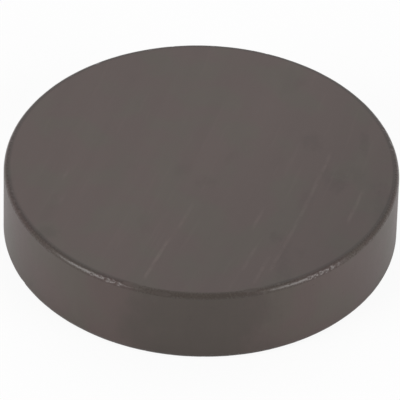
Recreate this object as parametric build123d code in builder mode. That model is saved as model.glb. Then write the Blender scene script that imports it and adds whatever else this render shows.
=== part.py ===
"""Disc magnet: one solid disc of sintered ferrite, pressed, fired and ground as a single piece.

Units are millimetres and +Z is up. The disc lies flat on one pole face, with the origin at the
middle of that face, so the magnet's own axis is the Z axis.
"""

import os

from build123d import *

# The two overall sizes.
diameter = 24.0  # outside diameter, as it left the press and the kiln
thickness = 5.0  # from one ground pole face to the other

# Tumbling in abrasive rounds both rims, each by its own amount.
upper_rim_radius = 0.35
lower_rim_radius = 0.35

with BuildPart() as ferrite_disc:
    with BuildSketch(Plane.XY):
        Circle(diameter / 2)
    extrude(amount=thickness)

    pole_faces = ferrite_disc.faces().filter_by(GeomType.PLANE).sort_by(Axis.Z)
    fillet(pole_faces[0].edges(), radius=lower_rim_radius)
    fillet(pole_faces[-1].edges(), radius=upper_rim_radius)

ferrite_disc.part.label = "ferrite_disc"

os.makedirs("parts", exist_ok=True)
export_step(ferrite_disc.part, "parts/ferrite_disc.step")
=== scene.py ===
"""Disc magnet: one piece of sintered ferrite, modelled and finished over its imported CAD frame.

The file is laid out as an add-on and run as a script. It loads the frame, builds the visible disc
as a fine lathe mesh with nicked rims, gives it a procedural ferrite finish, and sets a plain studio
around it. Blender units are metres; sizes in the property groups are millimetres where noted.
"""

import math
import random

import bpy
import numpy as np
from bpy.props import FloatProperty, FloatVectorProperty, IntProperty, PointerProperty
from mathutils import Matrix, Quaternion, Vector


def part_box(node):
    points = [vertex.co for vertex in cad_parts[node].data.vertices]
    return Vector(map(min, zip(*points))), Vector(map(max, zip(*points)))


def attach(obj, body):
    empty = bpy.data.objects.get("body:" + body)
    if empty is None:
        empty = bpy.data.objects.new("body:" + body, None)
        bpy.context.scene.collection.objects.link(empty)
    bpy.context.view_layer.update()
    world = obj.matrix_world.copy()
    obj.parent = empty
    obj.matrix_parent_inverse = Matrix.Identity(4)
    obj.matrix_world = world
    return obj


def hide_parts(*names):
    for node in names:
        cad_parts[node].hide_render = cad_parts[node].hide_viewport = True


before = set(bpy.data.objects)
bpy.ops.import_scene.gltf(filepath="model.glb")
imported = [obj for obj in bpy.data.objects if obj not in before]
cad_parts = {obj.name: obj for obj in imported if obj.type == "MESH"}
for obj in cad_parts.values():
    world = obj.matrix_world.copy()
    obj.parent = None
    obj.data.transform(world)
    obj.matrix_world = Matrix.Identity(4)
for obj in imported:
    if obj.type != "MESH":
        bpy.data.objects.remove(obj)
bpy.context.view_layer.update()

bl_info = {
    "name": "Disc Magnet",
    "version": (1, 0, 0),
    "blender": (4, 5, 0),
    "location": "3D View > Sidebar > Disc Magnet",
    "description": "Builds a sintered ferrite disc magnet and a small studio around it",
    "category": "Object",
}

NODE = "ferrite_disc"
MM = 0.001

# The mesh: gap between the fine rings beside a rim on the wall and on a pole face, the fewest points of
# a ring near a face's middle, how fast the rings shrink towards it, and the bake map's margin.
RING_GAP = 0.06 * MM
FACE_RING_GAP = 0.055 * MM
FEWEST_POINTS = 24
RING_SHRINK = 0.72
MAP_MARGIN = 0.006

# The studio: each soft box's azimuth, elevation and half-angle in degrees and its radiance; the middle of
# the room's glow, in degrees, and how far from it the glow starts and is full; its strength and the
# room's own; how much of the white background gloss and glass show; the floor's half width and its gap
# under the disc.
SOFT_BOXES = ((-60, 27, 17.5, 6.4), (60, 24, 17.5, 6.2))
GLOW_MIDDLE = (180, 48.6)
GLOW_START = math.radians(76.8)
GLOW_FULL = math.radians(-12.2)
GLOW_STRENGTH = 1.59
ROOM_STRENGTH = 0.05
WHITE_IN_GLOSS = 0.35
FLOOR_HALF = 3.0
FLOOR_GAP = 0.01 * MM
WHITE = (1.0, 1.0, 1.0, 1.0)

DISC_LOW, DISC_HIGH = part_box(NODE)
RADIUS = min(-DISC_LOW.x, -DISC_LOW.y, DISC_HIGH.x, DISC_HIGH.y)
THICKNESS = DISC_HIGH.z - DISC_LOW.z


# ---------------------------------------------------------------- settings a user would change


class DiscShape(bpy.types.PropertyGroup):
    """Sizes of the disc's rims and of the nicks in them."""

    rim_radius: FloatProperty(
        name="Rim radius",
        description="Radius that tumbling has worn on both rims",
        default=0.35 * MM,
        min=0.05 * MM,
        subtype="DISTANCE",
        unit="LENGTH",
    )
    segments: IntProperty(
        name="Segments",
        description="Steps round the rim; each halving step towards a face's middle needs an even count",
        default=1280,
        min=64,
    )
    nicks: IntProperty(
        name="Small nicks",
        description="Number of small nicks scattered along each rim",
        default=46,
        min=0,
    )
    nick_seed: IntProperty(
        name="Nick seed",
        description="Another number scatters the small nicks in other places",
        default=7,
    )
    rim_wear: FloatProperty(
        name="Rim wear",
        description="How unevenly the rims are worn, as the deepest dip below the true rim",
        default=0.012 * MM,
        min=0.0,
        subtype="DISTANCE",
        unit="LENGTH",
    )


class FerriteFinish(bpy.types.PropertyGroup):
    """Colours and gloss of the fired ferrite."""

    body: FloatVectorProperty(
        name="Body",
        description="Warm dark grey of the ground pole faces",
        default=(0.0885, 0.0652, 0.0600),
        min=0.0,
        max=1.0,
        size=3,
        subtype="COLOR",
    )
    patch: FloatVectorProperty(
        name="Patch",
        description="Slightly greener grey of the faint patches",
        default=(0.0845, 0.0687, 0.0595),
        min=0.0,
        max=1.0,
        size=3,
        subtype="COLOR",
    )
    fracture: FloatVectorProperty(
        name="Fracture",
        description="Fresh grain that shows inside a nick",
        default=(0.105, 0.09, 0.086),
        min=0.0,
        max=1.0,
        size=3,
        subtype="COLOR",
    )
    fired_shade: FloatProperty(
        name="Fired shade",
        description="How light the wall and rims are beside the ground faces",
        default=0.96,
        min=0.0,
        max=1.0,
        subtype="FACTOR",
    )
    ground_roughness: FloatProperty(
        name="Ground roughness",
        description="Roughness of the ground pole faces",
        default=0.4,
        min=0.0,
        max=1.0,
        subtype="FACTOR",
    )
    fired_roughness: FloatProperty(
        name="Fired roughness",
        description="Roughness of the wall, which is left as fired",
        default=0.4,
        min=0.0,
        max=1.0,
        subtype="FACTOR",
    )
    rim_roughness: FloatProperty(
        name="Rim roughness",
        description="Roughness of the rims, rubbed smoother than the rest",
        default=0.27,
        min=0.0,
        max=1.0,
        subtype="FACTOR",
    )
    grinding_angle: FloatProperty(
        name="Grinding angle",
        description="Direction of the grinding lines, clockwise from +Y seen from above",
        default=math.radians(17.0),
        subtype="ANGLE",
        unit="ROTATION",
    )


class StudioSettings(bpy.types.PropertyGroup):
    """The camera and the lamps."""

    distance: FloatProperty(
        name="Camera distance",
        description="From the camera to the middle of the disc, in disc radii",
        default=32.5,
        min=2.0,
    )
    elevation: FloatProperty(
        name="Camera elevation",
        description="Angle of the camera above the horizon",
        default=math.radians(39.95),
        subtype="ANGLE",
        unit="ROTATION",
    )
    roll: FloatProperty(
        name="Camera roll",
        description="How far the camera leans to its left",
        default=math.radians(1.56),
        subtype="ANGLE",
        unit="ROTATION",
    )
    lens: FloatProperty(
        name="Lens",
        description="Focal length in millimetres",
        default=576.5,
        min=10.0,
    )
    lamp_power: FloatProperty(
        name="Lamp level",
        description="Multiplies every lamp",
        default=1.0,
        min=0.0,
    )


# ---------------------------------------------------------------- the disc's mesh


def ring_points(radii, heights, segments):
    """Points of rings about the Z axis, as an array of ring, segment and x, y, z."""
    angle = np.arange(segments) * (2 * math.pi / segments)
    radii, heights = np.asarray(radii)[:, None], np.asarray(heights)[:, None]
    return np.stack([radii * np.cos(angle), radii * np.sin(angle), heights + 0 * angle], axis=-1)


def side_profile(rim, steps=12):
    """The section from the lower face's edge round the lower rim, up the wall and round the upper rim.

    Gives radius, height, outward normal (radial, upward) and distance along the section."""
    quarter = [math.pi / 2 * i / steps for i in range(steps + 1)]
    turns = [(math.cos(a), math.sin(a)) for a in quarter]
    flat = RADIUS - rim
    top = THICKNESS - rim
    lower = [(flat + rim * sine, rim - rim * cosine, sine, -cosine) for cosine, sine in turns]
    upper = [(flat + rim * cosine, top + rim * sine, cosine, sine) for cosine, sine in turns]
    near = [RING_GAP * k for k in range(1, 7)]
    straight = THICKNESS - 2 * rim
    between = [straight * share for share in (0.25, 0.5, 0.75)]
    wall = near + between + [straight - d for d in reversed(near)]
    middle = [(RADIUS, rim + up, 1.0, 0.0) for up in wall]
    rows = np.array(lower + middle + upper)
    step = np.hypot(np.diff(rows[:, 0]), np.diff(rows[:, 1]))
    return rows, np.concatenate([[0.0], np.cumsum(step)])


class Nick:
    """A small conchoidal chip: where it sits on a rim, how wide its hollow is and how deep it bites."""

    def __init__(self, azimuth, slope, width, depth, upper=True):
        self.azimuth = azimuth
        self.slope = slope
        self.width = width
        self.depth = depth
        self.upper = upper

    def hollow(self, rim):
        """Centre and radius of the ball that scoops the chip out."""
        sign = 1 if self.upper else -1
        out = Vector((
            math.sin(self.azimuth) * math.cos(self.slope),
            -math.cos(self.azimuth) * math.cos(self.slope),
            sign * math.sin(self.slope),
        ))
        flat = Vector((math.sin(self.azimuth), -math.cos(self.azimuth), 0.0)) * (RADIUS - rim)
        height = THICKNESS - rim if self.upper else rim
        ball = (self.width**2 / 4 + self.depth**2) / (2 * self.depth)
        return flat + Vector((0, 0, height)) + out * (rim + ball - self.depth), ball


def nicks_of(shape):
    """The nicks in both rims: a run of plain ones at the front, and small ones scattered all round."""
    rad = math.radians
    made = [
        Nick(rad(-32.2), rad(32), 0.24 * MM, 0.042 * MM),
        Nick(rad(-29.4), rad(46), 0.20 * MM, 0.034 * MM),
        Nick(rad(-27.2), rad(34), 0.32 * MM, 0.048 * MM),
        Nick(rad(-25.4), rad(50), 0.26 * MM, 0.040 * MM),
        Nick(rad(-23.7), rad(30), 0.36 * MM, 0.036 * MM),
        Nick(rad(-19.9), rad(66), 1.35 * MM, 0.036 * MM),
        Nick(rad(-10.2), rad(36), 1.60 * MM, 0.036 * MM),
        Nick(rad(15.4), rad(68), 1.10 * MM, 0.032 * MM),
        Nick(rad(19.4), rad(20), 0.32 * MM, 0.032 * MM),
        Nick(rad(33.6), rad(36), 0.26 * MM, 0.045 * MM),
        Nick(rad(35.4), rad(24), 0.26 * MM, 0.040 * MM),
        Nick(rad(37.3), rad(38), 0.30 * MM, 0.050 * MM),
        Nick(rad(39.3), rad(25), 0.24 * MM, 0.038 * MM),
        Nick(rad(41.4), rad(36), 0.30 * MM, 0.048 * MM),
        Nick(rad(43.8), rad(28), 0.26 * MM, 0.040 * MM),
        Nick(rad(-146.0), rad(62), 0.50 * MM, 0.040 * MM),
        Nick(rad(104.0), rad(40), 0.60 * MM, 0.060 * MM),
        Nick(rad(158.0), rad(50), 0.55 * MM, 0.060 * MM, upper=False),
        Nick(rad(-62.0), rad(40), 0.70 * MM, 0.070 * MM, upper=False),
    ]
    draw = random.Random(shape.nick_seed)
    for upper in (True, False):
        for _ in range(shape.nicks):
            width = draw.uniform(0.12, 0.34) * MM
            made.append(Nick(draw.uniform(-math.pi, math.pi), rad(draw.uniform(8, 82)), width,
                             width * draw.uniform(0.07, 0.14), upper))
    return made


def wear_of(angle, height, shape):
    """How far the worn rims dip below their true round, for points at these angles and heights."""
    rim = shape.rim_radius
    draw = random.Random(shape.nick_seed + 1)
    near_rim = np.clip(1 - np.minimum(height, THICKNESS - height) / rim, 0, 1)
    wave = 0
    for turns in (9, 17, 31, 53, 88, 140):
        phase, slant = draw.uniform(0, 2 * math.pi), draw.uniform(-2.5, 2.5)
        wave = wave + np.sin(turns * angle + phase + slant * near_rim) / turns**0.45
    dip = np.clip(0.5 + 0.55 * wave, 0, 1)
    return shape.rim_wear * dip * near_rim * (1 - near_rim) * 4


def scoop(points, normals, nicks, rim):
    """Moves points inside a nick's ball inwards onto it. Gives how deep each point went."""
    depth = np.zeros(points.shape[:2])
    for nick in nicks:
        centre, ball = nick.hollow(rim)
        to_point = points - np.array(centre)
        inside = (to_point**2).sum(-1) < ball**2
        w, n = to_point[inside], normals[inside]
        along = (w * n).sum(-1)
        travel = along + np.sqrt(along**2 + ball**2 - (w**2).sum(-1))
        points[inside] -= n * travel[:, None]
        depth[inside] += travel
    return depth


class DiscMesh:
    """Collects the disc's vertices, faces, bake map and nick depths."""

    def __init__(self, bake_scale):
        self.points, self.faces, self.corners, self.depths = [], [], [], []
        self.scale = bake_scale

    def add_ring(self, points, depth=None):
        """Adds a ring's points and how deep the nicks cut them. Gives their indices."""
        start = sum(len(p) for p in self.points)
        self.points.append(points)
        self.depths.append(np.zeros(len(points)) if depth is None else depth)
        return np.arange(start, start + len(points))

    def add_faces(self, indices, corners):
        """Adds faces, and where each of their corners lies on the bake map."""
        self.faces += [tuple(int(i) for i in face) for face in indices]
        self.corners += corners

    def join_side(self, low, high, v_low, v_high, arc, places):
        """Quads between two rings of the side. The map holds the side as strips, one for each place."""
        n = len(low)
        per = n // len(places)
        for i in range(n):
            u0, v0 = places[i // per]
            a, b, j = u0 + (i % per) * arc, u0 + (i % per + 1) * arc, (i + 1) % n
            self.add_faces(
                [(low[i], low[j], high[j], high[i])],
                [(a, v0 + v_low), (b, v0 + v_low), (b, v0 + v_high), (a, v0 + v_high)],
            )

    def join_face(self, outer, inner, place, mirror):
        """Faces between two rings of a pole face. The inner ring has as many points, half, or one."""
        points = np.concatenate(self.points)
        n, m = len(outer), len(inner)
        for i in range(m if m > 1 else n):
            if m == n:
                made = [(outer[i], outer[(i + 1) % n], inner[(i + 1) % n], inner[i])]
            elif m == 1:
                made = [(outer[i], outer[(i + 1) % n], inner[0])]
            else:
                a, b, c = outer[2 * i], outer[2 * i + 1], outer[(2 * i + 2) % n]
                p, q = inner[i], inner[(i + 1) % m]
                made = [(a, b, p), (b, q, p), (b, c, q)]
            for face in made:
                face = face[::-1] if mirror else face
                sign = -1 if mirror else 1
                at = [(place[0] + sign * points[k][0] * self.scale, place[1] + points[k][1] * self.scale)
                      for k in face]
                self.add_faces([face], at)


def build_disc(shape):
    """The disc as one closed lathe mesh with worn and nicked rims, and a bake map of its own."""
    n, rim = shape.segments, shape.rim_radius
    rows, along = side_profile(rim)
    side = ring_points(rows[:, 0], rows[:, 1], n)
    angle = np.arange(n) * (2 * math.pi / n)
    outward, upward = rows[:, 2][:, None], rows[:, 3][:, None]
    normals = np.stack([outward * np.cos(angle), outward * np.sin(angle), upward + 0 * angle], axis=-1)
    side -= normals * wear_of(angle[None, :], rows[:, 1][:, None], shape)[..., None]

    inner_edge = RADIUS - rim
    fine = [inner_edge - FACE_RING_GAP * k for k in range(1, 7)]
    face_up = ring_points(fine, [THICKNESS] * len(fine), n)
    face_down = ring_points(fine, [0.0] * len(fine), n)
    up = np.zeros_like(face_up) + (0, 0, 1)

    nicks = nicks_of(shape)
    both = np.concatenate([side, face_up, face_down])
    depth = scoop(both, np.concatenate([normals, up, -up]), nicks, rim)
    side, face_up, face_down = np.split(both, [len(side), len(side) + len(face_up)])
    d_side, d_up, d_down = np.split(depth, [len(side), len(side) + len(face_up)])

    # The bake map: two pole faces side by side, and the side in two strips under them.
    margin = MAP_MARGIN
    scale = (1 - 3 * margin) / (4 * inner_edge)
    face_r = inner_edge * scale
    strip_h = along[-1] * scale
    arc = min((1 - 2 * margin) / (n / 2), 2 * math.pi * RADIUS * scale / n)
    places = [(margin, margin), (margin, 2 * margin + strip_h)]
    centre_v = 1 - margin - face_r
    mesh = DiscMesh(scale)
    rings = [mesh.add_ring(p, d) for p, d in zip(side, d_side)]
    for k in range(len(rings) - 1):
        mesh.join_side(rings[k], rings[k + 1], along[k] * scale, along[k + 1] * scale, arc, places)
    for edge, face, depths, height, u, mirror in (
        (rings[-1], face_up, d_up, THICKNESS, margin + face_r, False),
        (rings[0], face_down, d_down, 0.0, 2 * margin + 3 * face_r, True),
    ):
        outer, radius, count = edge, fine[-1], n
        for ring_row, d in zip(face, depths):
            ring = mesh.add_ring(ring_row, d)
            mesh.join_face(outer, ring, (u, centre_v), mirror)
            outer = ring
        while count % 2 == 0 and count > FEWEST_POINTS:
            count //= 2
            radius *= RING_SHRINK
            ring = mesh.add_ring(ring_points([radius], [height], count)[0])
            mesh.join_face(outer, ring, (u, centre_v), mirror)
            outer = ring
        middle = mesh.add_ring(np.array([[0.0, 0.0, height]]))
        mesh.join_face(outer, middle, (u, centre_v), mirror)
    return mesh


def disc_object(made):
    """A Blender object from the collected mesh."""
    data = bpy.data.meshes.new(NODE + "_surface")
    data.from_pydata(np.concatenate(made.points).tolist(), [], made.faces)
    bake_map = data.uv_layers.new(name="OFBake")
    bake_map.data.foreach_set("uv", np.array(made.corners, np.float32).ravel())
    chip = data.attributes.new("nick_depth", "FLOAT", "POINT")
    chip.data.foreach_set("value", (np.concatenate(made.depths) / MM).astype(np.float32))
    data.polygons.foreach_set("use_smooth", [True] * len(data.polygons))
    data.update()
    data.validate()
    piece = bpy.data.objects.new("magnet_disc", data)
    bpy.context.scene.collection.objects.link(piece)
    return piece


# ---------------------------------------------------------------- shader maths


class Value:
    """A shader socket that takes part in Python arithmetic; each operation adds its Math node."""

    def __init__(self, shader, socket):
        self.shader, self.socket = shader, socket

    def math(self, operation, *others, clamp=False):
        settings = {"operation": operation, "use_clamp": clamp}
        return self.shader.add("ShaderNodeMath", settings, [self, *others])

    def __add__(self, other):
        return self.math("ADD", other)

    def __sub__(self, other):
        return self.math("SUBTRACT", other)

    def __mul__(self, other):
        return self.math("MULTIPLY", other)

    def __pow__(self, other):
        return self.math("POWER", other)

    def __rsub__(self, other):
        return self.shader.add("ShaderNodeMath", {"operation": "SUBTRACT"}, [other, self])

    __radd__ = __add__
    __rmul__ = __mul__

    def clamped(self):
        return self.math("ADD", 0.0, clamp=True)

    def smooth(self, start, end):
        """0 below start, 1 above end, and a smooth step between; start may be the larger."""
        return self.shader.add(
            "ShaderNodeMapRange",
            {"interpolation_type": "SMOOTHSTEP", "clamp": True},
            {"Value": self, "From Min": start, "From Max": end},
        )


class Shader:
    """Adds nodes to one material's or world's tree."""

    def __init__(self, owner):
        owner.use_nodes = True
        self.tree = owner.node_tree
        self.tree.nodes.clear()

    def add(self, kind, settings=None, inputs=None, output=0):
        """One node: its settings first, then its sockets' values or links, by name or in order."""
        node = self.tree.nodes.new(kind)
        node.location = (180 * (len(self.tree.nodes) % 12), -220 * (len(self.tree.nodes) // 12))
        for name, value in (settings or {}).items():
            setattr(node, name, value)
        pairs = inputs.items() if isinstance(inputs, dict) else enumerate(inputs or [])
        for name, value in pairs:
            if isinstance(value, Value):
                self.tree.links.new(value.socket, node.inputs[name])
            else:
                node.inputs[name].default_value = value
        return Value(self, node.outputs[output]) if node.outputs else node

    def noise(self, place, scale, detail=2.0, roughness=0.5):
        """Noise about 0.5, at a place given in millimetres."""
        return self.add(
            "ShaderNodeTexNoise",
            {"noise_dimensions": "3D"},
            {"Vector": place, "Scale": scale, "Detail": detail, "Roughness": roughness},
        )

    def place(self, x, y, z):
        return self.add("ShaderNodeCombineXYZ", {}, {"X": x, "Y": y, "Z": z})

    def mix(self, factor, first, second):
        """Second colour over the first by a factor."""
        return self.add(
            "ShaderNodeMix",
            {"data_type": "RGBA", "blend_type": "MIX"},
            {0: factor, 6: first, 7: second},
            output=2,
        )


def rgba(colour):
    return (*colour, 1.0)


# ---------------------------------------------------------------- ferrite


def grinding_lines(shader, x, y, finish):
    """Fine arcs that the grinding wheel left on the pole faces.

    Gives the places across and along them, fine and broad lines, and sparse plain ones."""
    wheel = 150.0
    ahead, aside = math.sin(finish.grinding_angle), math.cos(finish.grinding_angle)
    run = x * ahead + y * aside
    off = x * aside - y * ahead
    # An arc about a far wheel centre is nearly a straight line bent by run squared.
    across = off + run * run * (0.5 / wheel)
    fine = shader.noise(shader.place(across * 5.0, run * 0.16, 3.1), 1.0, 3.0, 0.6)
    broad = shader.noise(shader.place(across * 1.1, run * 0.07, 8.4), 1.0, 2.0, 0.5)
    sparse = shader.noise(shader.place(across * 3.4, run * 0.22, 21.7), 1.0, 1.0, 0.4)
    return across, run, fine, broad, sparse.smooth(0.64, 0.74)


def long_scratches(shader, across, run):
    """The few longer scratches: place across the lines, start and end in millimetres, and how plain."""
    scratches = (
        (0.40, -11.4, -6.6, 0.8),
        (0.62, -6.2, -3.0, 0.5),
        (7.05, -8.2, 4.4, 0.5),
        (6.55, -9.6, -6.2, 0.5),
        (4.75, -4.9, -2.2, 0.6),
        (-6.9, -6.4, -4.9, 0.6),
        (-7.5, -4.2, -2.4, 0.5),
        (5.5, -8.6, -5.4, 0.45),
        (9.9, -2.4, 1.6, 0.6),
    )
    broken = shader.noise(shader.place(across * 2.0, run * 1.3, 5.0), 1.0, 2.0, 0.6).smooth(0.38, 0.6)
    total = 0.0
    for place, start, end, plain in scratches:
        width = (across - place).math("ABSOLUTE").smooth(0.18, 0.03)
        length = run.smooth(start, start + 0.8) * run.smooth(end, end - 1.2)
        total = width * length * plain + total
    return total * (0.35 + broken * 0.65)


def handling_marks(shader, x, y):
    """The few darker marks rubbed into the upper face.

    Each has its middle, half its width and length in millimetres, and how plain it is."""
    marks = (
        (6.7, 2.6, 0.8, 1.0, 0.7),
        (9.9, 2.6, 0.35, 1.3, 0.8),
        (8.2, -1.2, 0.8, 1.1, 0.8),
        (0.3, -1.5, 0.7, 0.7, 0.6),
        (4.6, -6.4, 0.5, 0.6, 0.7),
        (5.0, -9.0, 0.6, 1.9, 0.6),
        (-9.2, -6.6, 0.9, 0.7, 0.8),
        (11.0, -3.4, 0.7, 2.6, 0.6),
    )
    ragged = (shader.noise(shader.place(x * 1.5, y, 9.0), 1.9, 4.0, 0.75) - 0.5) * 3.6
    total = 0.0
    for middle_x, middle_y, width, length, plain in marks:
        far = ((x - middle_x) * (1 / width)) ** 2 + ((y - middle_y) * (1 / length)) ** 2
        total = (far + ragged).smooth(1.3, -0.3) * plain + total
    return total


def ferrite_material(finish):
    """Fired ferrite: ground pole faces, a wall left as fired, worn rims and fresh grain in the nicks."""
    material = bpy.data.materials.new("ferrite")
    shader = Shader(material)
    place = shader.add("ShaderNodeTexCoord", output=3)
    scale = {"operation": "SCALE"}
    millimetres = shader.add("ShaderNodeVectorMath", scale, {"Vector": place, "Scale": 1 / MM})
    parts = shader.add("ShaderNodeSeparateXYZ", {}, [millimetres])
    x, y, z = (Value(shader, parts.socket.node.outputs[k]) for k in range(3))
    top = THICKNESS / MM
    from_pole = (z - top / 2).math("ABSOLUTE") * -1.0 + top / 2
    ground = from_pole.smooth(0.008, 0.001)
    rim = (1.0 - ground) * from_pole.smooth(0.42, 0.28)
    nick_depth = shader.add("ShaderNodeAttribute", {"attribute_name": "nick_depth"}, output=2)
    nick = nick_depth.smooth(0.001, 0.02)

    across, run, fine, broad, sparse = grinding_lines(shader, x, y, finish)
    scratch = long_scratches(shader, across, run) * ground

    # The wall: drag lines from the press's die run up it, and firing leaves it slightly lumpy.
    angle = y.math("ARCTAN2", x)
    reach = RADIUS / MM
    drag = shader.noise(shader.place(angle * (reach * 3.0), z * 0.35, 4.0), 1.0, 3.0, 0.6)
    lumps = shader.noise(millimetres, 0.7, 3.0, 0.55)
    grain = shader.noise(millimetres, 7.0, 3.0, 0.65)
    speck = shader.noise(millimetres, 3.2, 2.0, 0.7)
    pore = speck.smooth(0.70, 0.76)

    # The front of the wall, on the camera's side, is painted darker and greener as painted shade, and
    # its two flanks are painted lighter as painted light. A line of painted shade runs along the edge
    # of the ground face, except at the front.
    turn = (angle + math.pi / 2).math("ABSOLUTE")
    cloud = shader.noise(shader.place(x, y, z * 0.7), 0.42, 4.0, 0.6)
    ragged = turn + (cloud - 0.5) * 0.5
    painted_front_shade = ragged.smooth(0.46, 0.16) * (1.0 - ground)
    painted_flank_light = ragged.smooth(0.24, 0.46) * ragged.smooth(1.05, 0.72) * (1.0 - ground)
    radius = (x * x + y * y) ** 0.5
    edge = from_pole.smooth(0.08, 0.04) * radius.smooth(reach - 0.46, reach - 0.34)
    painted_edge_shade = edge * (1.0 - nick) * turn.smooth(0.27, 0.42)
    patch = shader.noise(millimetres, 0.35, 2.0, 0.5).smooth(0.42, 0.62).math("MAXIMUM", painted_front_shade)
    smudge = shader.noise(shader.place(across * 0.5, run * 0.25, 40.0), 1.0, 2.0, 0.55).smooth(0.60, 0.72)
    # Both ground faces are a little darker towards the right front edge. The upper one has rubbed marks.
    lean = (x * 0.012 - y * 0.009).clamped() * ground
    marks = handling_marks(shader, x, y) * z.smooth(top / 2 - 0.1, top / 2 + 0.1) * ground
    colour = shader.mix(patch, rgba(finish.body), rgba(finish.patch))
    shade = (
        1.0
        + (grain - 0.5) * 0.10
        + (lumps - 0.5) * 0.10
        + ground * ((fine - 0.5) * 0.05 + (broad - 0.5) * 0.11 + sparse * 0.04 - smudge * 0.06)
        + (1.0 - ground) * (drag - 0.5) * 0.08
        + scratch * 0.30
        - pore * 0.16
        - lean
        - marks * 0.15
        # Painted shade on the rims, on the line along the ground face's edge and on the front of the
        # wall; painted light on the wall's flanks.
        - rim * 0.08
        - painted_edge_shade * 0.27
        - painted_front_shade * 0.17
        + painted_flank_light * 0.08
    )
    shade = shade * (ground * (1.0 - finish.fired_shade) + finish.fired_shade)
    shaded = shader.add("ShaderNodeVectorMath", scale, {"Vector": colour, "Scale": shade})
    shaded = shader.mix(nick * 0.12, shaded, rgba(finish.fracture))

    rough = (
        ground * finish.ground_roughness
        + (1.0 - ground) * finish.fired_roughness
        - rim * (finish.fired_roughness - finish.rim_roughness)
        + (grain - 0.5) * 0.12
        + (lumps - 0.5) * 0.08
        + ground * (fine - 0.5) * 0.14
        - scratch * 0.08
        + pore * 0.12
        + nick * 0.05
    )
    height = (
        ground * ((fine - 0.5) * 0.0012 - scratch * 0.003 + sparse * 0.001)
        + (1.0 - ground) * ((drag - 0.5) * 0.002 + (lumps - 0.5) * 0.006)
        + (grain - 0.5) * (0.0022 - rim * 0.0022)
        - pore * 0.006
        + nick * (speck - 0.5) * 0.02
    )
    bump = shader.add("ShaderNodeBump", {}, {"Height": height, "Strength": 1.0, "Distance": MM})
    surface = shader.add(
        "ShaderNodeBsdfPrincipled",
        {},
        {"Base Color": shaded, "Roughness": rough.clamped(), "Normal": bump, "IOR": 1.5,
         "Specular IOR Level": 0.32},
    )
    shader.add("ShaderNodeOutputMaterial", {}, {"Surface": surface})
    return material


# ---------------------------------------------------------------- the studio


def floor_material():
    """A white floor that keeps part of the disc's shadow."""
    material = bpy.data.materials.new("floor_paper")
    shader = Shader(material)
    seen = shader.add("ShaderNodeLightPath", output=0)
    outputs = seen.socket.node.outputs
    glossy = Value(shader, outputs["Is Glossy Ray"])
    through = Value(shader, outputs["Is Transmission Ray"])
    shown = seen * 0.92 + glossy.math("MAXIMUM", through) * WHITE_IN_GLOSS
    paper = shader.add("ShaderNodeBsdfDiffuse", {}, {"Color": (0.9, 0.9, 0.9, 1.0)})
    glow = shader.add("ShaderNodeEmission", {}, {"Color": WHITE, "Strength": 1.0})
    both = shader.add("ShaderNodeMixShader", {}, [shown, paper, glow])
    shader.add("ShaderNodeOutputMaterial", {}, {"Surface": both})
    return material


def soft_box(azimuth, elevation, reach, radiance):
    """A round soft box, a metre from the disc and facing it. Reach is its half-angle seen from there."""
    data = bpy.data.lights.new("soft_box", "AREA")
    data.shape = "DISK"
    data.size = 2 * math.tan(math.radians(reach))
    data.energy = radiance * math.pi * math.pi * data.size**2 / 4
    made = bpy.data.objects.new("soft_box", data)
    made.location = direction(azimuth, elevation)
    made.rotation_mode = "QUATERNION"
    made.rotation_quaternion = direction(azimuth, elevation).to_track_quat("Z", "Y")
    bpy.context.scene.collection.objects.link(made)


def direction(azimuth, elevation):
    """A direction from the disc: azimuth from the camera's side towards +X, in degrees."""
    a, e = math.radians(azimuth), math.radians(elevation)
    return Vector((math.sin(a) * math.cos(e), -math.cos(a) * math.cos(e), math.sin(e)))


def set_world(level):
    """The room: a broad glow above and behind the disc, and little light from the camera's side.

    The background is white."""
    world = bpy.data.worlds.new("room")
    bpy.context.scene.world = world
    shader = Shader(world)
    towards = shader.add("ShaderNodeTexCoord")
    glow = shader.add(
        "ShaderNodeVectorMath",
        {"operation": "DOT_PRODUCT"},
        [towards, tuple(direction(*GLOW_MIDDLE))],
        output=1,
    ).math("ARCCOSINE").smooth(GLOW_START, GLOW_FULL)
    seen = shader.add("ShaderNodeLightPath")
    outputs = seen.socket.node.outputs
    glossy = Value(shader, outputs["Is Glossy Ray"])
    through = Value(shader, outputs["Is Transmission Ray"])
    shown = seen.math("MAXIMUM", glossy.math("MAXIMUM", through) * WHITE_IN_GLOSS)
    strength = (glow * GLOW_STRENGTH + ROOM_STRENGTH) * level
    room = shader.add("ShaderNodeBackground", {}, {"Color": WHITE, "Strength": strength})
    white = shader.add("ShaderNodeBackground", {}, {"Color": WHITE, "Strength": 1.0})
    both = shader.add("ShaderNodeMixShader", {}, [shown, room, white])
    shader.add("ShaderNodeOutputWorld", {}, {"Surface": both})


def set_camera(studio):
    """The camera, aimed a little below and left of the disc's middle."""
    data = bpy.data.cameras.new("camera")
    data.sensor_width = 36.0
    data.lens = studio.lens
    back = Vector((0.0, -math.cos(studio.elevation), math.sin(studio.elevation)))
    turn = back.to_track_quat("Z", "Y") @ Quaternion((0.0, 0.0, 1.0), studio.roll)
    right, up = turn @ Vector((1.0, 0.0, 0.0)), turn @ Vector((0.0, 1.0, 0.0))
    distance = studio.distance * RADIUS
    aim = Vector((0.0, 0.0, THICKNESS / 2)) - right * 0.048 * MM - up * 0.116 * MM
    camera = bpy.data.objects.new("camera", data)
    camera.location = aim + back * distance
    camera.rotation_mode = "QUATERNION"
    camera.rotation_quaternion = turn
    data.clip_start, data.clip_end = distance / 20, distance * 40
    bpy.context.scene.collection.objects.link(camera)
    bpy.context.scene.camera = camera


# ---------------------------------------------------------------- operators and panel


class DISC_MAGNET_OT_disc(bpy.types.Operator):
    """Build the ferrite disc and give it its finish"""

    bl_idname = "disc_magnet.disc"
    bl_label = "Build Disc"

    def execute(self, context):
        scene = context.scene
        piece = disc_object(build_disc(scene.disc_shape))
        piece.data.materials.append(ferrite_material(scene.ferrite_finish))
        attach(piece, "root")
        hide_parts(NODE)
        return {"FINISHED"}


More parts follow.
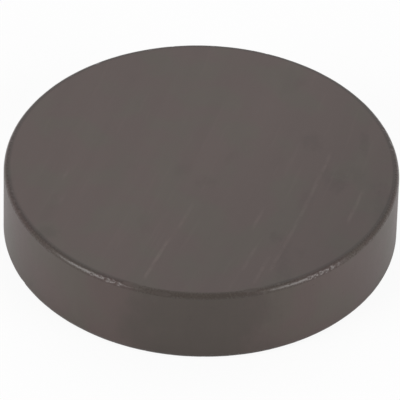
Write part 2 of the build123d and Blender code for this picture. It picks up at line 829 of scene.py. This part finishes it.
class DISC_MAGNET_OT_stage(bpy.types.Operator):
    """Lay the floor and set the lamps, the room light and the camera"""

    bl_idname = "disc_magnet.stage"
    bl_label = "Build Stage"

    def execute(self, context):
        scene = context.scene
        studio = scene.studio_settings
        half = FLOOR_HALF
        low = -FLOOR_GAP
        data = bpy.data.meshes.new("floor")
        corners = [(-half, -half, low), (half, -half, low), (half, half, low), (-half, half, low)]
        data.from_pydata(corners, [], [(0, 1, 2, 3)])
        data.materials.append(floor_material())
        floor = bpy.data.objects.new("floor", data)
        scene.collection.objects.link(floor)
        level = studio.lamp_power
        for azimuth, elevation, reach, radiance in SOFT_BOXES:
            soft_box(azimuth, elevation, reach, radiance * level)
        set_world(level)
        set_camera(studio)
        scene.view_settings.view_transform = "Standard"
        return {"FINISHED"}


class DISC_MAGNET_PT_panel(bpy.types.Panel):
    """The disc's settings and its two steps"""

    bl_label = "Disc Magnet"
    bl_space_type = "VIEW_3D"
    bl_region_type = "UI"
    bl_category = "Disc Magnet"

    def draw(self, context):
        layout = self.layout
        for title, settings in (
            ("Shape", context.scene.disc_shape),
            ("Finish", context.scene.ferrite_finish),
            ("Studio", context.scene.studio_settings),
        ):
            box = layout.box()
            box.label(text=title)
            for name in settings.__annotations__:
                box.prop(settings, name)
        layout.operator(DISC_MAGNET_OT_disc.bl_idname)
        layout.operator(DISC_MAGNET_OT_stage.bl_idname)


CLASSES = (
    DiscShape,
    FerriteFinish,
    StudioSettings,
    DISC_MAGNET_OT_disc,
    DISC_MAGNET_OT_stage,
    DISC_MAGNET_PT_panel,
)


def register():
    for cls in CLASSES:
        bpy.utils.register_class(cls)
    bpy.types.Scene.disc_shape = PointerProperty(type=DiscShape)
    bpy.types.Scene.ferrite_finish = PointerProperty(type=FerriteFinish)
    bpy.types.Scene.studio_settings = PointerProperty(type=StudioSettings)


def unregister():
    del bpy.types.Scene.studio_settings
    del bpy.types.Scene.ferrite_finish
    del bpy.types.Scene.disc_shape
    for cls in reversed(CLASSES):
        bpy.utils.unregister_class(cls)


def main():
    register()
    bpy.ops.disc_magnet.disc()
    bpy.ops.disc_magnet.stage()


if __name__ == "__main__":
    main()
